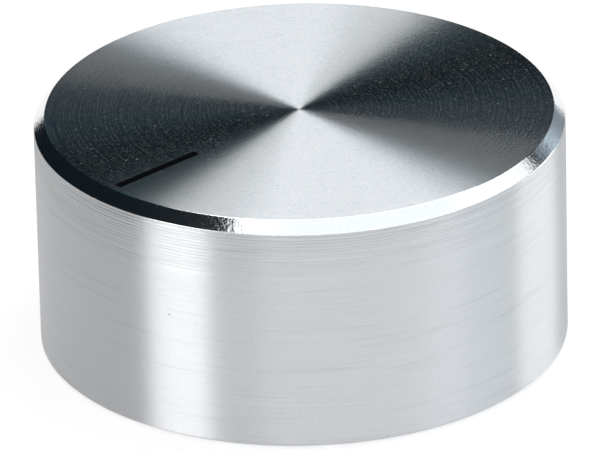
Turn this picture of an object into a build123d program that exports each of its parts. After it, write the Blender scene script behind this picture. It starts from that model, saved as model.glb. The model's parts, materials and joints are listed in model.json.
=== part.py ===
# Control knob for a round 6 mm shaft, turned in one piece from aluminium bar.
# A grub screw in a cross hole clamps it on the shaft, and an enamelled line on the face is its pointer.
# Millimetres. The origin is the centre of the underside, and +Z runs up the shaft axis to the face.
# The pointer line lies towards -Y, and the grub screw comes in from +Y, opposite it.

import os
from math import radians, tan

from build123d import *

# Outside of the body
knob_diameter = 35.0
knob_height = 16.0
bevel_size = 0.75  # bright-cut 45 degree bevel between the face and the side
bevel_edge_radius = 0.05  # what deburring leaves on both edges of the bevel
base_edge_break = 0.2  # small chamfer round the foot of the side

# Underside: a recess that covers the nut of the panel bush, and a blind bore for the shaft
nut_recess_diameter = 20.0
nut_recess_depth = 5.0
nut_recess_chamfer = 0.3
nut_recess_corner_radius = 0.4  # nose radius of the boring tool
shaft_diameter = 6.0
shaft_clearance = 0.03  # all round the shaft, so that the knob slides on by hand
bore_chamfer = 0.4
drill_point_angle = 118.0
face_thickness = 2.0  # metal left between the drill point and the face

# Grub screw, M4 x 8 with a hexagon socket and a cup point, and its tapped hole
screw_diameter = 4.0
screw_length = 8.0
screw_end_chamfer = 0.4
screw_tip_setback = 0.3  # how far the point stands back from the bore
socket_width = 2.0  # across the flats
socket_depth = 2.5
socket_drill_angle = 120.0
cup_diameter = 2.0
cup_angle = 90.0
thread_clearance = 0.05  # all round the screw
hole_countersink = 0.3

# Pointer line: a flat-bottomed cut in the face, filled with enamel
pointer_width = 0.6
pointer_length = 7.0
pointer_depth = 0.2
pointer_edge_gap = 0.5  # bare metal between the line and the bevel
enamel_shrinkage = 0.03  # how far the dry enamel lies below the face



def cone_height(radius, angle):
    # Height of a drilled or turned point with that radius and full angle.
    return radius / tan(radians(angle / 2))


# Worked out from the sizes above
knob_radius = knob_diameter / 2
face_radius = knob_radius - bevel_size
recess_radius = nut_recess_diameter / 2
bore_radius = shaft_diameter / 2 + shaft_clearance
drill_point_top = knob_height - face_thickness
bore_end = drill_point_top - cone_height(bore_radius, drill_point_angle)  # the full bore stops here

screw_radius = screw_diameter / 2
screw_hole_radius = screw_radius + thread_clearance
screw_height = (nut_recess_depth + bore_end) / 2  # halfway up the bore
screw_tip = bore_radius + screw_tip_setback  # from the shaft axis
hole_mouth = Plane(origin=(0, knob_radius, screw_height), x_dir=(1, 0, 0), z_dir=(0, 1, 0))
screw_base = Plane(origin=(0, screw_tip, screw_height), x_dir=(1, 0, 0), z_dir=(0, 1, 0))

pointer_floor = Plane.XY.offset(knob_height - pointer_depth)
pointer_middle = face_radius - pointer_edge_gap - pointer_length / 2  # from the shaft axis


def pointer_outline():
    # The line seen from above, for the cut and for the enamel that fills it.
    with Locations((0, -pointer_middle)):
        Rectangle(pointer_width, pointer_length)


# Body: half of its section, turned round the shaft axis
with BuildPart() as knob_body:
    with BuildSketch(Plane.XZ) as half_section:
        with BuildLine():
            Polyline(
                (0, knob_height),
                (face_radius, knob_height),
                (knob_radius, knob_height - bevel_size),
                (knob_radius, base_edge_break),
                (knob_radius - base_edge_break, 0),
                (recess_radius + nut_recess_chamfer, 0),
                (recess_radius, nut_recess_chamfer),
                (recess_radius, nut_recess_depth),
                (bore_radius + bore_chamfer, nut_recess_depth),
                (bore_radius, nut_recess_depth + bore_chamfer),
                (bore_radius, bore_end),
                (0, drill_point_top),
                close=True,
            )
        make_face()
    revolve(axis=Axis.Z)

    circles = knob_body.edges().filter_by(GeomType.CIRCLE)
    bevel_edges = circles.filter_by_position(Axis.Z, knob_height - bevel_size, knob_height)
    fillet(bevel_edges, radius=bevel_edge_radius)
    recess_floor_edges = circles.filter_by_position(Axis.Z, nut_recess_depth, nut_recess_depth)
    fillet(recess_floor_edges.sort_by(SortBy.RADIUS)[-1], radius=nut_recess_corner_radius)

    # The tapped hole runs from the side into the bore
    with Locations(hole_mouth):
        CounterSinkHole(
            radius=screw_hole_radius,
            counter_sink_radius=screw_hole_radius + hole_countersink,
            depth=knob_radius,
            counter_sink_angle=90,
        )

    # The cut for the pointer line
    with BuildSketch(pointer_floor):
        pointer_outline()
    extrude(amount=pointer_depth, mode=Mode.SUBTRACT)

# Grub screw: built along its own axis, from the cup point outwards
with BuildPart(screw_base) as grub_screw:
    Cylinder(screw_radius, screw_length, align=(Align.CENTER, Align.CENTER, Align.MIN))
    chamfer(grub_screw.edges().filter_by(GeomType.CIRCLE), length=screw_end_chamfer)

    # The cup, a cone sunk in the point, leaves a ring that bites into the shaft
    Cone(
        bottom_radius=cup_diameter / 2,
        top_radius=0,
        height=cone_height(cup_diameter / 2, cup_angle),
        align=(Align.CENTER, Align.CENTER, Align.MIN),
        mode=Mode.SUBTRACT,
    )

    # The hexagon socket was drilled before it was broached, so it ends in a drill point
    with BuildSketch(screw_base.offset(screw_length)):
        RegularPolygon(radius=socket_width / 2, side_count=6, major_radius=False)
    extrude(amount=-socket_depth, mode=Mode.SUBTRACT)
    with Locations((0, 0, screw_length - socket_depth)):
        Cone(
            bottom_radius=0,
            top_radius=socket_width / 2,
            height=cone_height(socket_width / 2, socket_drill_angle),
            align=(Align.CENTER, Align.CENTER, Align.MAX),
            mode=Mode.SUBTRACT,
        )

# Pointer line: the enamel in the cut
with BuildPart() as pointer_line:
    with BuildSketch(pointer_floor):
        pointer_outline()
    extrude(amount=pointer_depth - enamel_shrinkage)

knob_body.part.label = "knob_body"
grub_screw.part.label = "grub_screw"
pointer_line.part.label = "pointer_line"

os.makedirs("parts", exist_ok=True)
export_step(knob_body.part, "parts/knob_body.step")
export_step(grub_screw.part, "parts/grub_screw.step")
export_step(pointer_line.part, "parts/pointer_line.step")
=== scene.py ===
import json
import math

import bmesh
import bpy
from mathutils import Matrix, Vector


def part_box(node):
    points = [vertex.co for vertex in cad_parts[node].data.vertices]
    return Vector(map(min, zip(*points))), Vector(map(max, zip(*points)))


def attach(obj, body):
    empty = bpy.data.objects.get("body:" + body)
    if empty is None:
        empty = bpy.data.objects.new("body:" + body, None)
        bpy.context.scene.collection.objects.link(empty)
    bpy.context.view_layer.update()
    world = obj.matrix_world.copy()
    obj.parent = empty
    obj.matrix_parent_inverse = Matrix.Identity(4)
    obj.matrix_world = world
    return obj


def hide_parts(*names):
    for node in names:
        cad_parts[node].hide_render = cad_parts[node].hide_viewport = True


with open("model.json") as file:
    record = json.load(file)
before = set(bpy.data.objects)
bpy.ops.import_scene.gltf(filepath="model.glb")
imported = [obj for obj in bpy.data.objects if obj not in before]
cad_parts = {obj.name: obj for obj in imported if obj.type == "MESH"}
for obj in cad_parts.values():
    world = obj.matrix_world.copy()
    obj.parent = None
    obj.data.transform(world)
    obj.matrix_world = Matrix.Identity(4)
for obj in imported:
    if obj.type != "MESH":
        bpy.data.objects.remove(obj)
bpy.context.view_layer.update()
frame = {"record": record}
mm = 0.001

bodyLow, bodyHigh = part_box("knob_body")
knobRadius = bodyHigh.x
knobHeight = bodyHigh.z
mounts = {mount["name"]: mount for mount in frame["record"]["mounts"]}
boreRadius = mounts["shaft_bore"]["dims"]["r_mm"] * mm
recessRadius = mounts["nut_recess"]["dims"]["r_mm"] * mm


# Small helpers for node trees

def addNode(tree, kind, values=None, **settings):
    # values maps an input's name or number to a value or to another node's output
    node = tree.nodes.new(kind)
    for name, value in settings.items():
        setattr(node, name, value)
    for key, value in (values or {}).items():
        if isinstance(value, bpy.types.NodeSocket):
            tree.links.new(value, node.inputs[key])
        else:
            node.inputs[key].default_value = value
    return node


def calc(tree, operation, *values):
    return addNode(tree, "ShaderNodeMath", dict(enumerate(values)), operation=operation).outputs[0]


def vectorCalc(tree, operation, *values):
    node = addNode(tree, "ShaderNodeVectorMath", dict(enumerate(values)), operation=operation)
    return node.outputs["Value" if operation in ("LENGTH", "DOT_PRODUCT") else "Vector"]


def mapped(tree, value, fromLow, fromHigh, toLow=0.0, toHigh=1.0, smooth=False):
    values = {"Value": value, "From Min": fromLow, "From Max": fromHigh, "To Min": toLow, "To Max": toHigh}
    kind = "SMOOTHSTEP" if smooth else "LINEAR"
    return addNode(tree, "ShaderNodeMapRange", values, interpolation_type=kind).outputs[0]


def combined(tree, x, y, z=0.0):
    return addNode(tree, "ShaderNodeCombineXYZ", {"X": x, "Y": y, "Z": z}).outputs[0]


def separated(tree, vector):
    return addNode(tree, "ShaderNodeSeparateXYZ", {0: vector}).outputs


def noise(tree, place, scale=1.0, detail=2.0, roughness=0.5):
    values = {"Vector": place, "Scale": scale, "Detail": detail, "Roughness": roughness}
    return addNode(tree, "ShaderNodeTexNoise", values).outputs[0]


def linkInto(tree, output, node, name):
    tree.links.new(output, node.inputs[name])


# Turning: a section is spun round the Z axis, with rings, a hexagon or a thread where its points ask for them

turningInputs = {
    "Section": "NodeSocketGeometry",
    "Segments": "NodeSocketInt",
    "Thread Pitch": "NodeSocketFloat",
    "Thread Depth": "NodeSocketFloat",
    "Face Metal": "NodeSocketMaterial",
    "Bevel Metal": "NodeSocketMaterial",
    "Side Metal": "NodeSocketMaterial",
    "Inside Metal": "NodeSocketMaterial",
    "Top": "NodeSocketFloat",
    "Radius": "NodeSocketFloat",
    "Bevel": "NodeSocketFloat",
}
turning = {
    "seamGap": 0.0005 * mm,  # points closer than this become one
    "ringChange": 0.8,  # how fast the noise of the rings changes from ring to ring
    "roundChange": 1.3,  # and round the turn
    "ringFade": (0.3, 0.7),  # the noise where a ring is gone and where it has its full depth
    "threadFlank": (0.12, 0.88),  # crest and root, in shares of half a pitch
    "upright": 0.35,  # a face is upright below this slope and level above the next
    "level": 0.93,
    "outside": 0.995,  # the outside starts at this share of the radius
}


def ringDepth(tree, phase, turn):
    # the feed marks of the cutter, uneven in depth and fading in and out round the turn
    wave = calc(tree, "COSINE", calc(tree, "MULTIPLY", phase, math.tau))
    wave = calc(tree, "MULTIPLY_ADD", wave, -0.5, 0.5)
    roundabout = combined(tree, calc(tree, "COSINE", turn), calc(tree, "SINE", turn),
                          calc(tree, "MULTIPLY", phase, turning["ringChange"]))
    uneven = noise(tree, roundabout, turning["roundChange"])
    return calc(tree, "MULTIPLY", wave, mapped(tree, uneven, *turning["ringFade"]))


def hexagonFactor(tree, share, turn):
    # the radius is the distance to the flats, and this takes it out to the hexagon
    sixth = calc(tree, "SUBTRACT", calc(tree, "MODULO", turn, math.tau / 6), math.tau / 12)
    beyond = calc(tree, "SUBTRACT", calc(tree, "DIVIDE", 1.0, calc(tree, "COSINE", sixth)), 1.0)
    return calc(tree, "MULTIPLY_ADD", share, beyond, 1.0)


def threadGroove(tree, height, turnShare, pitch):
    # right-handed, from 0 on the crest to 1 at the root
    lead = calc(tree, "SUBTRACT", calc(tree, "DIVIDE", height, pitch), turnShare)
    flank = calc(tree, "MULTIPLY", calc(tree, "PINGPONG", lead, 0.5), 2.0)
    return mapped(tree, flank, *turning["threadFlank"], smooth=True)


def giveMetals(tree, shape, given):
    # which metal goes where is told by the slope and the place
    slope = separated(tree, addNode(tree, "GeometryNodeInputNormal").outputs[0])["Z"]
    at = separated(tree, addNode(tree, "GeometryNodeInputPosition").outputs[0])
    squares = calc(tree, "ADD", calc(tree, "POWER", at["X"], 2.0), calc(tree, "POWER", at["Y"], 2.0))
    rim = calc(tree, "MULTIPLY", given["Radius"], turning["outside"])
    outside = calc(tree, "GREATER_THAN", calc(tree, "SQRT", squares), rim)
    nearTop = calc(tree, "GREATER_THAN", at["Z"], calc(tree, "SUBTRACT", given["Top"], given["Bevel"]))
    upright = calc(tree, "LESS_THAN", calc(tree, "ABSOLUTE", slope), turning["upright"])
    level = calc(tree, "GREATER_THAN", slope, turning["level"])
    sloping = calc(tree, "MULTIPLY", calc(tree, "GREATER_THAN", slope, turning["upright"]),
                   calc(tree, "LESS_THAN", slope, turning["level"]))
    places = {
        "Inside Metal": None,
        "Side Metal": calc(tree, "MULTIPLY", outside, upright),
        "Bevel Metal": calc(tree, "MULTIPLY", nearTop, sloping),
        "Face Metal": calc(tree, "MULTIPLY", nearTop, level),
    }
    for name, where in places.items():
        node = addNode(tree, "GeometryNodeSetMaterial", {"Geometry": shape, "Material": given[name]})
        if where:
            linkInto(tree, where, node, "Selection")
        shape = node.outputs[0]
    return shape


def makeTurningTree():
    tree = bpy.data.node_groups.new("turning", "GeometryNodeTree")
    for name, kind in turningInputs.items():
        tree.interface.new_socket(name, in_out="INPUT", socket_type=kind)
    tree.interface.new_socket("Geometry", in_out="OUTPUT", socket_type="NodeSocketGeometry")
    given = addNode(tree, "NodeGroupInput").outputs

    # a grid: one row for each point of the section, one column for each segment of the turn
    section = addNode(tree, "GeometryNodeAttributeDomainSize", {"Geometry": given["Section"]})
    points = section.outputs["Point Count"]
    lastRow = calc(tree, "SUBTRACT", points, 1)
    columns = calc(tree, "ADD", given["Segments"], 1)
    grid = addNode(tree, "GeometryNodeMeshGrid", {
        "Size X": lastRow, "Size Y": 1.0, "Vertices X": points, "Vertices Y": columns})
    place = separated(tree, addNode(tree, "GeometryNodeInputPosition").outputs[0])
    row = calc(tree, "ROUND", calc(tree, "ADD", place["X"], calc(tree, "MULTIPLY", lastRow, 0.5)))
    turnShare = calc(tree, "ADD", place["Y"], 0.5)
    turn = calc(tree, "MULTIPLY", turnShare, math.tau)

    def sampled(field, kind):
        node = addNode(tree, "GeometryNodeSampleIndex", {"Geometry": given["Section"]}, data_type=kind)
        node.domain = "POINT"
        linkInto(tree, field, node, "Value")
        linkInto(tree, row, node, "Index")
        return node.outputs["Value"]

    def mark(name, kind="FLOAT"):
        named = addNode(tree, "GeometryNodeInputNamedAttribute", {"Name": name}, data_type=kind)
        return sampled(named.outputs["Attribute"], kind)

    sectionPlace = addNode(tree, "GeometryNodeInputPosition").outputs[0]
    spot = separated(tree, sampled(sectionPlace, "FLOAT_VECTOR"))
    depth = ringDepth(tree, mark("phase"), turn)
    inward = separated(tree, mark("inward", "FLOAT_VECTOR"))
    radius = calc(tree, "MULTIPLY_ADD", inward["X"], depth, spot["X"])
    height = calc(tree, "MULTIPLY_ADD", inward["Z"], depth, spot["Z"])
    radius = calc(tree, "MULTIPLY", radius, hexagonFactor(tree, mark("hexagon"), turn))
    groove = threadGroove(tree, height, turnShare, given["Thread Pitch"])
    groove = calc(tree, "MULTIPLY", calc(tree, "MULTIPLY", groove, given["Thread Depth"]), mark("thread"))
    radius = calc(tree, "SUBTRACT", radius, groove)

    x = calc(tree, "MULTIPLY", radius, calc(tree, "COSINE", turn))
    y = calc(tree, "MULTIPLY", radius, calc(tree, "SINE", turn))
    steps = {
        "GeometryNodeSetPosition": {"Position": combined(tree, x, y, height)},
        "GeometryNodeMergeByDistance": {"Distance": turning["seamGap"]},
        "GeometryNodeSetShadeSmooth": {},
        "GeometryNodeRealizeInstances": {},
    }
    shape = grid.outputs["Mesh"]
    for kind, values in steps.items():
        shape = addNode(tree, kind, {"Geometry": shape, **values}).outputs[0]
    result = addNode(tree, "NodeGroupOutput")
    linkInto(tree, giveMetals(tree, shape, given), result, "Geometry")
    return tree


def turned(name, section, values):
    # each point of the section has its place (radius, height) and, where it needs them,
    # inward, phase, hexagon or thread
    mesh = bpy.data.meshes.new(name)
    places = [(point["at"][0], 0, point["at"][1]) for point in section]
    mesh.from_pydata(places, [(i, i + 1) for i in range(len(places) - 1)], [])
    inward = mesh.attributes.new("inward", "FLOAT_VECTOR", "POINT")
    for i, point in enumerate(section):
        inward.data[i].vector = point.get("inward", (0, 0, 0))
    for word in ("phase", "hexagon", "thread"):
        layer = mesh.attributes.new(word, "FLOAT", "POINT")
        for i, point in enumerate(section):
            layer.data[i].value = point.get(word, 0.0)
    maker = bpy.data.objects.new(name + "Section", mesh)
    bpy.context.scene.collection.objects.link(maker)
    modifier = maker.modifiers.new("turning", "NODES")
    modifier.node_group = turningTree
    items = turningTree.interface.items_tree
    sockets = {item.name: item.identifier for item in items if item.in_out == "INPUT"}
    for key, value in values.items():
        modifier[sockets[key]] = value
    graph = bpy.context.evaluated_depsgraph_get()
    made = maker.evaluated_get(graph)
    plain = bpy.data.meshes.new_from_object(made, preserve_all_data_layers=True, depsgraph=graph)
    bpy.data.objects.remove(maker)
    piece = bpy.data.objects.new(name, plain)
    bpy.context.scene.collection.objects.link(piece)
    return piece


def stretch(start, end, step, **marks):
    # points from start towards end, the end left out, at most step apart
    count = max(1, math.ceil(math.dist(start, end) / step))
    across, up = end[0] - start[0], end[1] - start[1]
    places = [(start[0] + across * i / count, start[1] + up * i / count) for i in range(count)]
    return [{"at": place, **marks} for place in places]


def arc(centre, radius, fromAngle, toAngle, count):
    # an arc with both its ends, angles in degrees
    angles = [math.radians(fromAngle + (toAngle - fromAngle) * i / count) for i in range(count + 1)]
    return [{"at": (centre[0] + radius * math.cos(a), centre[1] + radius * math.sin(a))} for a in angles]


def carve(piece, cutter):
    # takes the cutter away from the piece
    modifier = piece.modifiers.new("cut", "BOOLEAN")
    modifier.operation = "DIFFERENCE"
    modifier.solver = "EXACT"
    modifier.material_mode = "TRANSFER"
    modifier.object = cutter
    graph = bpy.context.evaluated_depsgraph_get()
    plain = bpy.data.meshes.new_from_object(piece.evaluated_get(graph), depsgraph=graph)
    piece.modifiers.remove(modifier)
    old = piece.data
    piece.data = plain
    bpy.data.meshes.remove(old)
    bpy.data.objects.remove(cutter)


# Materials

def emptyMaterial(name):
    material = bpy.data.materials.new(name)
    material.use_nodes = True
    material.node_tree.nodes.clear()
    return material, material.node_tree


def newMaterial(name):
    material, tree = emptyMaterial(name)
    shader = addNode(tree, "ShaderNodeBsdfPrincipled")
    addNode(tree, "ShaderNodeOutputMaterial", {"Surface": shader.outputs[0]})
    return material, tree, shader


def objectPlace(tree):
    return addNode(tree, "ShaderNodeTexCoord").outputs["Object"]


def fineNoise(tree, size, detail=2.0, roughness=0.5):
    return noise(tree, objectPlace(tree), 1 / size, detail, roughness)


def blended(tree, share, dark, light):
    values = {"Factor": share, "A": dark, "B": light}
    return addNode(tree, "ShaderNodeMix", values, data_type="RGBA").outputs["Result"]


def bumped(tree, shader, height):
    bump = addNode(tree, "ShaderNodeBump", {"Strength": 1.0, "Distance": 1.0, "Height": height})
    linkInto(tree, bump.outputs[0], shader, "Normal")


def specks(tree, finish):
    # small round spots here and there, brighter or fainter by chance
    spacing = finish["speckSpacing"]
    cells = addNode(tree, "ShaderNodeTexVoronoi", {"Vector": objectPlace(tree), "Scale": 1 / spacing})
    chance = addNode(tree, "ShaderNodeSeparateColor", {0: cells.outputs["Color"]}).outputs
    there = calc(tree, "LESS_THAN", chance[0], finish["speckShare"])
    edge = finish["speckRadius"] / spacing
    spot = mapped(tree, cells.outputs["Distance"], 0.0, edge, 1.0, 0.0, smooth=True)
    return calc(tree, "MULTIPLY", calc(tree, "MULTIPLY", spot, there), chance[1])


# Lengths are sizes of what is seen, or heights in the bump. Shades and dullness are shares taken away.
faceFinish = {
    "paintedShadeLightness": 1.0, "roughness": 0.40, "roughnessChange": 0.10, "shade": 0.06,
    "streak": 0.14 * mm, "streakTurn": 18.0, "streakHeight": 0.012 * mm,
    "ring": 0.25 * mm, "ringWander": 1.8, "ringLow": 0.10,
    # the grain's dots are darker in their own tone and cooler as a painted reflection of bluish light
    "grain": 0.14 * mm, "grainTintAndPaintedCoolLight": (0.21, 0.14, 0.11), "grainDullness": 0.155, "grainHeight": 0.012 * mm,
    "speckSpacing": 0.42 * mm, "speckRadius": 0.10 * mm, "speckShare": 0.30,
    "speckDullness": 0.7, "speckDepth": 0.008 * mm,
}
sideFinish = {
    # the side's lightness, lower than the face's, is painted shade: the same metal made darker on the side
    # and in the bore
    "paintedShadeLightness": 0.88, "roughness": 0.36, "roughnessChange": 0.06, "shade": 0.035,
    "streak": 0.14 * mm, "streakTurn": 5.0, "streakHeight": 0.006 * mm,
    "ring": 0.5 * mm, "ringWander": 2.0, "ringLow": 0.3,
    # the side's grain is tinted the same way: its own darker tone and a painted cool reflection
    "grain": 0.17 * mm, "grainTintAndPaintedCoolLight": (0.05, 0.035, 0.03), "grainDullness": 0.04, "grainHeight": 0.003 * mm,
    "speckSpacing": 1.6 * mm, "speckRadius": 0.08 * mm, "speckShare": 0.3,
    "speckDullness": 0.2, "speckDepth": 0.05 * mm,
    # painted shade: how much the cutter's last passes and the scratches are darkened
    "paintedLineShade": 0.24, "paintedScratchShade": 0.08,
}
# what both have in common. A range says where on its noise a mark starts and where it is full.
turnedFinish = {
    "colour": (0.70, 0.706, 0.72, 1),
    "streakRange": (0.3, 0.7),
    "grainRange": (0.47, 0.63),
    "wanderScale": 0.35,
    "speckLightness": 0.3,
}
# painted shade in the cutter's last passes under the bevel, deeper than the rest, and in the scratches
# between them
grooveShadePainting = {
    "top": knobHeight - 0.95 * mm, "pitch": 0.22 * mm, "reach": 3.2 * mm,
    "turns": 2.2, "perLine": 0.55, "range": (0.2, 0.95), "comesRange": (0.32, 0.52),
    "scratch": 0.13 * mm, "scratchTurns": 2.5,
    "scratchRange": (0.54, 0.68), "scratchComesRange": (0.38, 0.58),
}


def drawnOut(tree, around, turns, across):
    # a place for noise that is drawn out round the axis: the more turns, the more it changes on the way round
    x = calc(tree, "MULTIPLY", around["X"], turns)
    y = calc(tree, "MULTIPLY", around["Y"], turns)
    return combined(tree, x, y, across)


def paintShadeInGrooves(tree, finish, pale, around, along, height):
    # paints shade into the cutter's last passes and the scratches by darkening their colour
    down = calc(tree, "DIVIDE", calc(tree, "SUBTRACT", grooveShadePainting["top"], height), grooveShadePainting["pitch"])
    wave = calc(tree, "COSINE", calc(tree, "MULTIPLY", down, math.tau))
    slow = drawnOut(tree, around, grooveShadePainting["turns"], calc(tree, "MULTIPLY", down, grooveShadePainting["perLine"]))
    comes = noise(tree, slow)
    reach = mapped(tree, down, 0.0, grooveShadePainting["reach"] / grooveShadePainting["pitch"], 1.0, 0.0)
    reach = calc(tree, "MULTIPLY", reach, mapped(tree, comes, *grooveShadePainting["comesRange"]))
    line = calc(tree, "MULTIPLY", mapped(tree, wave, *grooveShadePainting["range"]), reach)
    thin = drawnOut(tree, around, grooveShadePainting["scratchTurns"], calc(tree, "DIVIDE", along, grooveShadePainting["scratch"]))
    scratch = mapped(tree, noise(tree, thin, detail=1.0), *grooveShadePainting["scratchRange"])
    scratch = calc(tree, "MULTIPLY", scratch, mapped(tree, comes, *grooveShadePainting["scratchComesRange"]))
    for marks, shade in ((line, finish["paintedLineShade"]), (scratch, finish["paintedScratchShade"])):
        pale = calc(tree, "MULTIPLY", pale, calc(tree, "MULTIPLY_ADD", marks, -shade, 1.0))
    return pale


def turnedMetal(name, finish):
    # fine grooves round the axis, a grain that comes and goes from ring to ring, and bright specks; the grain
    # is cooled by a painted reflection of bluish light, and the side gets painted shade
    material, tree, shader = newMaterial(name)
    place = objectPlace(tree)
    parts = separated(tree, place)
    flat = combined(tree, parts["X"], parts["Y"])
    around = separated(tree, vectorCalc(tree, "NORMALIZE", flat))
    travel = vectorCalc(tree, "NORMALIZE", vectorCalc(tree, "CROSS_PRODUCT", (0, 0, 1), flat))
    along = calc(tree, "ADD", vectorCalc(tree, "LENGTH", flat), parts["Z"])

    grooves = drawnOut(tree, around, finish["streakTurn"], calc(tree, "DIVIDE", along, finish["streak"]))
    streak = noise(tree, grooves, roughness=0.6)
    turns = calc(tree, "DIVIDE", along, finish["ring"])
    values = {"W": turns, "Scale": turnedFinish["wanderScale"], "Detail": 1.0}
    wander = addNode(tree, "ShaderNodeTexNoise", values, noise_dimensions="1D").outputs[0]
    turns = calc(tree, "MULTIPLY_ADD", wander, finish["ringWander"], turns)
    ring = calc(tree, "COSINE", calc(tree, "MULTIPLY", turns, math.tau))
    grain = noise(tree, place, 1 / finish["grain"], detail=1.0, roughness=0.6)
    dots = calc(tree, "MULTIPLY", mapped(tree, grain, *turnedFinish["grainRange"]),
                mapped(tree, ring, -1.0, 1.0, finish["ringLow"], 1.0))
    speck = specks(tree, finish)

    height = calc(tree, "MULTIPLY", streak, finish["streakHeight"])
    height = calc(tree, "MULTIPLY_ADD", grain, finish["grainHeight"], height)
    bumped(tree, shader, calc(tree, "MULTIPLY_ADD", speck, -finish["speckDepth"], height))

    pale = mapped(tree, streak, *turnedFinish["streakRange"], 1.0 - finish["shade"], 1.0)
    # painted shade: a finish's lightness below 1 darkens the whole surface, as on the side
    pale = calc(tree, "MULTIPLY", pale, finish["paintedShadeLightness"])
    pale = calc(tree, "MULTIPLY_ADD", speck, turnedFinish["speckLightness"], pale)
    # painted shade in the grooves and scratches of the side
    if "paintedLineShade" in finish:
        pale = paintShadeInGrooves(tree, finish, pale, around, along, parts["Z"])
    tint = blended(tree, pale, (0, 0, 0, 1), turnedFinish["colour"])
    # the dots: darker by the grain's own tone, cooler by a painted reflection of bluish light
    cooler = vectorCalc(tree, "MULTIPLY_ADD", dots, tuple(-share for share in finish["grainTintAndPaintedCoolLight"]), (1, 1, 1))
    tint = vectorCalc(tree, "MULTIPLY", tint, cooler)
    metallic = calc(tree, "MULTIPLY_ADD", dots, -finish["grainDullness"], 1.0)
    metallic = calc(tree, "MULTIPLY_ADD", speck, -finish["speckDullness"], metallic)
    change = finish["roughnessChange"]
    rough = calc(tree, "MULTIPLY_ADD", streak, change, finish["roughness"] - change / 2)
    shader.inputs["Anisotropic"].default_value = 1.0
    shader.inputs["Anisotropic Rotation"].default_value = 0.25
    linkInto(tree, tint, shader, "Base Color")
    linkInto(tree, metallic, shader, "Metallic")
    linkInto(tree, rough, shader, "Roughness")
    linkInto(tree, travel, shader, "Tangent")
    return material


bevelFinish = {
    "colour": (0.84, 0.845, 0.855, 1), "roughness": 0.1, "wave": 0.32 * mm, "waveHeight": 0.009 * mm,
    "grain": 0.15 * mm, "grainHeight": 0.005 * mm, "grainRange": (0.3, 0.7), "grainLow": 0.94,
    "speckSpacing": 0.40 * mm, "speckRadius": 0.08 * mm, "speckShare": 0.22, "speckDullness": 0.35,
}


def bevelMetal():
    # cut bright by a diamond, with a faint waviness that only shows where light meets dark
    material, tree, shader = newMaterial("diamondCutBevel")
    waves = fineNoise(tree, bevelFinish["wave"], detail=1.0)
    grain = fineNoise(tree, bevelFinish["grain"], roughness=0.6)
    height = calc(tree, "MULTIPLY", waves, bevelFinish["waveHeight"])
    bumped(tree, shader, calc(tree, "MULTIPLY_ADD", grain, bevelFinish["grainHeight"], height))
    pale = mapped(tree, grain, *bevelFinish["grainRange"], bevelFinish["grainLow"], 1.0)
    tint = blended(tree, pale, (0, 0, 0, 1), bevelFinish["colour"])
    metallic = calc(tree, "MULTIPLY_ADD", specks(tree, bevelFinish), -bevelFinish["speckDullness"], 1.0)
    shader.inputs["Roughness"].default_value = bevelFinish["roughness"]
    linkInto(tree, metallic, shader, "Metallic")
    linkInto(tree, tint, shader, "Base Color")
    return material


oxideFinish = {
    "dark": (0.018, 0.018, 0.020, 1), "light": (0.045, 0.044, 0.046, 1),
    "metallic": 0.6, "roughness": (0.34, 0.50),
    "bloom": 0.5 * mm, "bloomRange": (0.35, 0.65), "grain": 0.06 * mm, "grainHeight": 0.002 * mm,
}


def blackOxideSteel():
    material, tree, shader = newMaterial("blackOxide")
    bloom = fineNoise(tree, oxideFinish["bloom"], detail=3.0, roughness=0.6)
    grain = fineNoise(tree, oxideFinish["grain"])
    pale = mapped(tree, bloom, *oxideFinish["bloomRange"])
    bumped(tree, shader, calc(tree, "MULTIPLY", grain, oxideFinish["grainHeight"]))
    shader.inputs["Metallic"].default_value = oxideFinish["metallic"]
    linkInto(tree, blended(tree, pale, oxideFinish["dark"], oxideFinish["light"]), shader, "Base Color")
    linkInto(tree, mapped(tree, bloom, 0.0, 1.0, *oxideFinish["roughness"]), shader, "Roughness")
    return material


enamelFinish = {
    "clean": (0.003, 0.003, 0.0035, 1), "dusty": (0.008, 0.008, 0.009, 1), "roughness": (0.14, 0.24),
    "skin": 0.35 * mm, "skinHeight": 0.004 * mm, "dust": 0.05 * mm, "dustRange": (0.58, 0.75),
}


def blackEnamel():
    # paint, not quite level and slightly dusty
    material, tree, shader = newMaterial("blackEnamel")
    skin = fineNoise(tree, enamelFinish["skin"])
    dust = fineNoise(tree, enamelFinish["dust"], roughness=0.7)
    dust = mapped(tree, dust, *enamelFinish["dustRange"])
    bumped(tree, shader, calc(tree, "MULTIPLY", skin, enamelFinish["skinHeight"]))
    linkInto(tree, blended(tree, dust, enamelFinish["clean"], enamelFinish["dusty"]), shader, "Base Color")
    linkInto(tree, mapped(tree, skin, 0.0, 1.0, *enamelFinish["roughness"]), shader, "Roughness")
    return material


faceMetal = turnedMetal("turnedFace", faceFinish)
sideMetal = turnedMetal("turnedSide", sideFinish)
insideMetal = turnedMetal("boredInside", sideFinish)
bevelBright = bevelMetal()
blackOxide = blackOxideSteel()
enamel = blackEnamel()
print("materials made")

# The body

turningTree = makeTurningTree()

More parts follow.
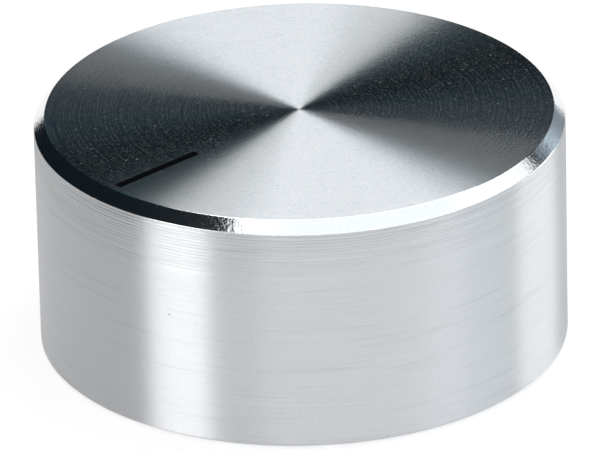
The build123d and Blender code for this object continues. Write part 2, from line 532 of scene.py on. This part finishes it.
body = {
    "bevel": 0.75 * mm,
    "bevelEdge": 0.07 * mm,
    "baseEdge": 0.2 * mm,
    "recessDepth": 5.0 * mm,
    "recessChamfer": 0.3 * mm,
    "recessCorner": 0.4 * mm,
    "boreChamfer": 0.4 * mm,
    "drillAngle": 118,
    "faceThickness": 2.0 * mm,
    "segments": 192,
    "plainStep": 0.5 * mm,
    "recessStep": 0.6 * mm,
    "edgeSteps": 3,
    "cornerSteps": 5,
    "hold": 0.03 * mm,  # a row this close to each arc keeps the flats flat
    "ringPitch": 0.27 * mm,
    "ringWander": 0.4,  # how far, in rings, the feed runs ahead or lags
    "ringWave": 3.0 * mm,
    "ringDepth": 0.009 * mm,
    "ringStep": 0.072 * mm,
    "markPitch": 0.22 * mm,
    "markDepth": 0.03 * mm,
    "markFade": 0.6,  # the share of their depth that the marks lose on their way down the side
    "markStep": 0.038 * mm,
    "markedSide": 3.0 * mm,
}


def ringedFace(start, end):
    section = stretch(start, end, body["ringStep"])
    for point in section:
        inwards = knobRadius - body["bevel"] - point["at"][0]
        wander = body["ringWander"] * math.sin(math.tau * inwards / body["ringWave"])
        point["phase"] = inwards / body["ringPitch"] + wander
        point["inward"] = (0, 0, -body["ringDepth"])
    return section


def markedSide(start, end):
    section = stretch(start, end, body["markStep"])
    for point in section:
        down = start[1] - point["at"][1]
        point["phase"] = down / body["markPitch"]
        point["inward"] = (-body["markDepth"] * (1 - body["markFade"] * down / body["markedSide"]), 0, 0)
    return section


def bodySection():
    top, out, hold = knobHeight, knobRadius, body["hold"]
    bevel, edge = body["bevel"], body["bevelEdge"]
    back = edge * math.tan(math.radians(22.5))  # where an edge's arc meets its flats
    slant = back / math.sqrt(2)
    faceOut = out - bevel
    drillTop = top - body["faceThickness"]
    boreEnd = drillTop - boreRadius / math.tan(math.radians(body["drillAngle"] / 2))
    base, deep, corner = body["baseEdge"], body["recessDepth"], body["recessCorner"]
    recessChamfer, boreChamfer = body["recessChamfer"], body["boreChamfer"]

    # the face, the bevel and the side
    section = ringedFace((0, top), (faceOut - back - hold, top))
    section.append({"at": (faceOut - back - hold, top)})
    section += arc((faceOut - back, top - edge), edge, 90, 45, body["edgeSteps"])
    section.append({"at": (faceOut + slant + hold, top - slant - hold)})
    section.append({"at": (out - slant - hold, top - bevel + slant + hold)})
    section += arc((out - edge, top - bevel - back), edge, 45, 0, body["edgeSteps"])
    sideTop = top - bevel - back - hold
    marksEnd = sideTop - body["markedSide"]
    section += markedSide((out, sideTop), (out, marksEnd))
    section += stretch((out, marksEnd), (out, base + hold), body["plainStep"])
    for place in ((out, base + hold), (out, base), (out - base, 0), (out - base - hold, 0)):
        section.append({"at": place})

    # the underside, the recess and the bore
    section += stretch((out - 2 * base, 0), (recessRadius + 2 * recessChamfer, 0), body["plainStep"])
    section.append({"at": (recessRadius + recessChamfer, 0)})
    section += stretch((recessRadius, recessChamfer), (recessRadius, deep - corner), body["recessStep"])
    section += arc((recessRadius - corner, deep - corner), corner, 0, 90, body["cornerSteps"])
    boreMouth = (boreRadius + boreChamfer, deep)
    section += stretch((recessRadius - corner - hold, deep), boreMouth, body["plainStep"])
    section.append({"at": boreMouth})
    section += stretch((boreRadius, deep + boreChamfer), (boreRadius, boreEnd), body["plainStep"])
    section.append({"at": (boreRadius, boreEnd)})
    section.append({"at": (0, drillTop)})
    return section


knobBody = turned("knobBody", bodySection(), {
    "Segments": body["segments"], "Thread Pitch": 1.0, "Thread Depth": 0.0,
    "Face Metal": faceMetal, "Bevel Metal": bevelBright, "Side Metal": sideMetal, "Inside Metal": insideMetal,
    "Top": knobHeight, "Radius": knobRadius, "Bevel": body["bevel"]})
print("body turned:", len(knobBody.data.polygons), "faces")

# The grub screw and its tapped hole

screwLow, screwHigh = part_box("grub_screw")
screw = {
    "radius": screwHigh.x,
    "length": screwHigh.y - screwLow.y,
    "height": (screwLow.z + screwHigh.z) / 2,
    "threadPitch": 0.7 * mm,
    "threadDepth": 0.38 * mm,
    "endChamfer": 0.4 * mm,
    "socketFlat": 1.0 * mm,  # from the axis to a flat
    "socketDepth": 2.5 * mm,
    "drillAngle": 120,
    "cupRadius": 1.0 * mm,
    "segments": 60,
    "step": 0.07 * mm,
    "plainStep": 0.5 * mm,
}
tapping = {
    "clearance": 0.05 * mm,
    "countersink": 0.3 * mm,
    "sinkStep": 0.05 * mm,
    "beyond": 1.0 * mm,  # how far the cutter stands out of the knob
}


def alongScrew(z):
    # from a place on the Z axis to the screw's own axis, its outer end towards +Y
    return Matrix.Translation((0, z, screw["height"])) @ Matrix.Rotation(math.radians(-90), 4, "X")


def screwValues(metal):
    return {"Segments": screw["segments"],
            "Thread Pitch": screw["threadPitch"], "Thread Depth": screw["threadDepth"],
            "Face Metal": metal, "Bevel Metal": metal, "Side Metal": metal, "Inside Metal": metal,
            "Top": 0.0, "Radius": 0.0, "Bevel": 0.0}


def screwSection():
    length, radius, chamfer = screw["length"], screw["radius"], screw["endChamfer"]
    flat, cup = screw["socketFlat"], screw["cupRadius"]
    floor = length - screw["socketDepth"]
    tip = floor - flat / math.tan(math.radians(screw["drillAngle"] / 2))
    section = [{"at": (0, tip)}]
    section += stretch((flat, floor), (flat, length), screw["plainStep"], hexagon=1.0)
    section.append({"at": (flat, length), "hexagon": 1.0})
    section += stretch((radius - chamfer, length), (radius, length - chamfer), screw["step"])
    section += stretch((radius, length - chamfer), (radius, chamfer), screw["step"], thread=1.0)
    section += stretch((radius, chamfer), (radius - chamfer, 0), screw["step"])
    section += [{"at": (radius - chamfer, 0)}, {"at": (cup, 0)}, {"at": (0, cup)}]
    return section


grubScrew = turned("grubScrew", screwSection(), screwValues(blackOxide))
grubScrew.data.transform(alongScrew(screwLow.y))


def tappedHole():
    # a cutter from the bore to outside of the knob
    radius = screw["radius"] + tapping["clearance"]
    mouth = knobRadius
    reach = mouth + tapping["beyond"]
    sink = tapping["countersink"]
    section = [{"at": (0, reach)}, {"at": (radius + sink + reach - mouth, reach)}]
    section += stretch((radius + sink, mouth), (radius, mouth - sink), tapping["sinkStep"])
    section += stretch((radius, mouth - sink), (radius, 0), screw["step"], thread=1.0)
    section += [{"at": (radius, 0)}, {"at": (0, 0)}]
    cutter = turned("tappedHole", section, screwValues(insideMetal))
    cutter.data.transform(alongScrew(0))
    return cutter


carve(knobBody, tappedHole())
print("hole tapped")

# The pointer line

lineLow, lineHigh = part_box("pointer_line")
line = {
    "climb": 0.010 * mm,
    "dish": 0.006 * mm,
    "meniscus": 0.05 * mm,
    "stepAcross": 0.04 * mm,
    "stepAlong": 0.16 * mm,
    "beyond": 0.5 * mm,  # how far the cutter stands out of the face
}


def lineCut():
    mesh = bpy.data.meshes.new("lineCut")
    work = bmesh.new()
    top = knobHeight + line["beyond"]
    size = (lineHigh.x - lineLow.x, lineHigh.y - lineLow.y, top - lineLow.z)
    middle = ((lineLow.x + lineHigh.x) / 2, (lineLow.y + lineHigh.y) / 2, (top + lineLow.z) / 2)
    bmesh.ops.create_cube(work, size=1, matrix=Matrix.Translation(middle) @ Matrix.Diagonal((*size, 1)))
    work.to_mesh(mesh)
    work.free()
    mesh.materials.append(enamel)  # the paint wets the walls of the cut
    cutter = bpy.data.objects.new("lineCut", mesh)
    bpy.context.scene.collection.objects.link(cutter)
    return cutter


def pointerEnamel():
    # the paint climbs a little way up the walls of the cut and sags between them
    mesh = bpy.data.meshes.new("pointerEnamel")
    work = bmesh.new()
    wide, long = lineHigh.x - lineLow.x, lineHigh.y - lineLow.y
    columns, rows = round(wide / line["stepAcross"]), round(long / line["stepAlong"])
    top = []
    for j in range(rows + 1):
        for i in range(columns + 1):
            x, y = wide * i / columns, long * j / rows
            gap = min(x, wide - x, y, long - y)  # from the nearest wall
            climb = line["climb"] * math.exp(-gap / line["meniscus"])
            sag = line["dish"] * min(1.0, gap / (wide / 2))
            top.append(work.verts.new((lineLow.x + x, lineLow.y + y, lineHigh.z + climb - sag)))
    for j in range(rows):
        for i in range(columns):
            at = j * (columns + 1) + i
            work.faces.new((top[at], top[at + 1], top[at + columns + 2], top[at + columns + 1]))
    rim = [edge for edge in work.edges if edge.is_boundary]
    skirt = bmesh.ops.extrude_edge_only(work, edges=rim)["geom"]
    for corner in skirt:
        if isinstance(corner, bmesh.types.BMVert):
            corner.co.z = lineLow.z
    bmesh.ops.contextual_create(work, geom=[edge for edge in work.edges if edge.is_boundary])
    bmesh.ops.recalc_face_normals(work, faces=work.faces)
    for face in work.faces:
        face.smooth = True
    work.to_mesh(mesh)
    work.free()
    mesh.materials.append(enamel)
    piece = bpy.data.objects.new("pointerEnamel", mesh)
    bpy.context.scene.collection.objects.link(piece)
    return piece


carve(knobBody, lineCut())
enamelLine = pointerEnamel()
# edges that turn by more than this many degrees stay sharp
for piece, angle in ((knobBody, 32), (grubScrew, 40), (enamelLine, 40)):
    piece.data.set_sharp_from_angle(angle=math.radians(angle))
print("line cut:", len(knobBody.data.polygons), "faces in the body")

pieces = (
    (knobBody, "knob_body", "turned_aluminium"),
    (grubScrew, "grub_screw", "blackened_steel"),
    (enamelLine, "pointer_line", "black_enamel"),
)
for piece, node, slotName in pieces:
    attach(piece, "root")
    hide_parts(node)

# The camera, fitted to the knob's outline

camera = {
    "azimuth": 47.0,
    "elevation": 26.45,
    "distance": 36 * knobRadius,
    "lens": 568.8,
    "sensorWidth": 36.0,
    "nearest": 0.01,
    "roll": -1.36,
    "aim": (-0.0075 * knobRadius, 0, 0.4301 * knobRadius),
}
fromStudio = Matrix.Rotation(math.radians(camera["azimuth"]), 4, "Z")


def studioPlace(side, elevation, distance):
    # side: degrees to the right of the camera's own direction, seen from above
    a, e = math.radians(side - 90), math.radians(elevation)
    direction = Vector((math.cos(a) * math.cos(e), math.sin(a) * math.cos(e), math.sin(e)))
    return fromStudio @ (direction * distance)


def makeCamera():
    data = bpy.data.cameras.new("camera")
    data.lens = camera["lens"]
    data.sensor_width = camera["sensorWidth"]
    data.clip_start = camera["nearest"]
    seen = bpy.data.objects.new("camera", data)
    bpy.context.scene.collection.objects.link(seen)
    place = studioPlace(0, camera["elevation"], camera["distance"])
    aim = fromStudio @ Vector(camera["aim"])
    turn = (aim - place).to_track_quat("-Z", "Y").to_matrix().to_4x4()
    roll = Matrix.Rotation(math.radians(camera["roll"]), 4, "Z")
    seen.matrix_world = Matrix.Translation(place) @ turn @ roll
    bpy.context.scene.camera = seen


makeCamera()

# The studio: a dark tent with soft white windows, a softbox overhead and a white floor. Sides are counted in
# degrees to the right of the camera, seen from above the knob, and heights in degrees above the floor.

studio = {
    "floorSize": 12.0,
    "floorColour": 0.62,
    "floorGlow": 0.645,
    "litFloor": 0.37,
    "litReach": 0.60,
    "tentRadius": 1.4,
    "tentColumns": 72,
    "tentRows": 18,
    "tentColour": (0.006, 0.0105, 0.0145),
    "softEdge": 3.0,
}
softbox = {
    "height": 0.6,
    "across": 0.065,  # across and back are shares of its height
    "back": 0.13,
    "width": 0.75,
    "length": 0.395,
    "turn": 33,
    "radiance": 3.2,
}
windows = {
    "frontWindow": {
        "side": 27.5, "half": 70.5, "low": 12, "high": 70, "soft": 4, "colour": (1.14, 1.2, 1.26)},
    "frontPanel": {
        "side": 28, "half": 46, "low": 22, "high": 36, "soft": 12, "colour": (2.7, 2.6, 2.6)},
    "backRoof": {
        "side": 180, "half": 75, "low": 47, "high": 100, "soft": 10, "colour": (0.015, 0.075, 0.085)},
    "leftStrip": {
        "side": -54, "half": 13.5, "low": 0, "high": 40, "soft": 5, "colour": (4.45, 4.45, 4.45)},
    "rightStrip": {
        "side": 115, "half": 15, "low": 0, "high": 12.4, "soft": 8, "colour": (4.9, 4.7, 4.6)},
    "rightGlow": {
        "side": 92, "half": 40, "low": 0, "high": 16, "soft": 30, "colour": (1.0, 1.27, 1.4)},
    "rightUpperWindow": {
        "side": 99, "half": 12, "low": 32, "high": 46, "soft": 4, "colour": (1.17, 1.2, 1.22)},
    "rightLowerWindow": {
        "side": 112, "half": 10, "low": 24, "high": 35, "soft": 4, "colour": (1.17, 1.2, 1.22)},
    "backRightCard": {
        "side": 141, "half": 19, "low": 0, "high": 22, "soft": 6, "colour": (0.24, 0.28, 0.31)},
    "backLeftCard": {
        "side": 203, "half": 8, "low": 8, "high": 30, "soft": 6, "colour": (0.05, 0.11, 0.14)},
}


def makeSoftbox():
    # level, facing down
    data = bpy.data.lights.new("overheadSoftbox", "AREA")
    data.shape = "RECTANGLE"
    data.size, data.size_y = softbox["width"], softbox["length"]
    data.energy = softbox["radiance"] * math.pi * softbox["width"] * softbox["length"]
    lamp = bpy.data.objects.new("overheadSoftbox", data)
    bpy.context.scene.collection.objects.link(lamp)
    height = softbox["height"]
    place = Matrix.Translation((softbox["across"] * height, softbox["back"] * height, height))
    turn = Matrix.Rotation(math.radians(softbox["turn"]), 4, "Z")
    lamp.matrix_world = fromStudio @ (place @ turn)
    lamp.visible_camera = False


def tentCloth():
    material, tree = emptyMaterial("tentCloth")
    parts = separated(tree, vectorCalc(tree, "NORMALIZE", objectPlace(tree)))
    height = calc(tree, "DEGREES", calc(tree, "ARCSINE", parts["Z"]))
    level = vectorCalc(tree, "NORMALIZE", combined(tree, parts["X"], parts["Y"]))

    def inside(depth, soft):
        return mapped(tree, depth, -soft / 2, soft / 2, smooth=True)

    total = studio["tentColour"]
    for window in windows.values():
        middle = tuple(studioPlace(window["side"], 0, 1))
        away = calc(tree, "DEGREES", calc(tree, "ARCCOSINE", vectorCalc(tree, "DOT_PRODUCT", level, middle)))
        share = inside(calc(tree, "SUBTRACT", window["half"], away), window["soft"])
        high = inside(calc(tree, "SUBTRACT", window["high"], height), studio["softEdge"])
        share = calc(tree, "MULTIPLY", share, high)
        if window["low"] > 0:
            low = inside(calc(tree, "SUBTRACT", height, window["low"]), studio["softEdge"])
            share = calc(tree, "MULTIPLY", share, low)
        total = vectorCalc(tree, "MULTIPLY_ADD", share, window["colour"], total)
    lit = addNode(tree, "ShaderNodeEmission", {"Color": total})
    addNode(tree, "ShaderNodeOutputMaterial", {"Surface": lit.outputs[0]})
    return material


def makeTent():
    # half a ball round the knob, which only reflections show
    columns, rows = studio["tentColumns"], studio["tentRows"]
    places = [tuple(studioPlace(360 * i / columns, 90 * j / rows, studio["tentRadius"]))
              for j in range(rows + 1) for i in range(columns)]
    faces = [(j * columns + i, j * columns + (i + 1) % columns,
              (j + 1) * columns + (i + 1) % columns, (j + 1) * columns + i)
             for j in range(rows) for i in range(columns)]
    mesh = bpy.data.meshes.new("tent")
    mesh.from_pydata(places, [], faces)
    mesh.materials.append(tentCloth())
    tent = bpy.data.objects.new("tent", mesh)
    bpy.context.scene.collection.objects.link(tent)
    tent.visible_camera = False
    tent.visible_diffuse = False
    tent.visible_transmission = False
    tent.visible_shadow = False


def seenDirectly(tree):
    # 1 for what the camera, a reflection or glass looks at, and 0 for light that only falls on things
    path = addNode(tree, "ShaderNodeLightPath").outputs
    seen = calc(tree, "MAXIMUM", path["Is Camera Ray"], path["Is Glossy Ray"])
    return calc(tree, "MAXIMUM", seen, path["Is Transmission Ray"])


def makeWorld():
    world = bpy.data.worlds.new("whiteTent")
    world.use_nodes = True
    tree = world.node_tree
    tree.nodes.clear()
    white = addNode(tree, "ShaderNodeBackground", {"Color": (1, 1, 1, 1), "Strength": seenDirectly(tree)})
    addNode(tree, "ShaderNodeOutputWorld", {"Surface": white.outputs[0]})
    bpy.context.scene.world = world


def whiteFloor():
    material, tree = emptyMaterial("whiteFloor")
    pale = studio["floorColour"]
    lit = addNode(tree, "ShaderNodeBsdfDiffuse", {"Color": (pale, pale, pale, 1)})
    # the glow makes up for the softbox's light where that falls off
    far = calc(tree, "DIVIDE", vectorCalc(tree, "LENGTH", objectPlace(tree)), studio["litReach"])
    fall = calc(tree, "POWER", calc(tree, "ADD", calc(tree, "POWER", far, 2.0), 1.0), 2.0)
    lamps = calc(tree, "DIVIDE", studio["litFloor"], fall)
    strength = calc(tree, "SUBTRACT", studio["floorGlow"] + studio["litFloor"], lamps)
    strength = calc(tree, "MULTIPLY", seenDirectly(tree), strength)
    glow = addNode(tree, "ShaderNodeEmission", {"Strength": strength})
    both = addNode(tree, "ShaderNodeAddShader", {0: lit.outputs[0], 1: glow.outputs[0]})
    addNode(tree, "ShaderNodeOutputMaterial", {"Surface": both.outputs[0]})
    return material


def makeFloor():
    half = studio["floorSize"] / 2
    corners = [(-half, -half, 0), (half, -half, 0), (half, half, 0), (-half, half, 0)]
    mesh = bpy.data.meshes.new("floor")
    mesh.from_pydata(corners, [], [(0, 1, 2, 3)])
    mesh.materials.append(whiteFloor())
    floor = bpy.data.objects.new("floor", mesh)
    bpy.context.scene.collection.objects.link(floor)


makeWorld()
makeFloor()
makeSoftbox()
makeTent()
bpy.context.scene.view_settings.view_transform = "Standard"
print("studio set")
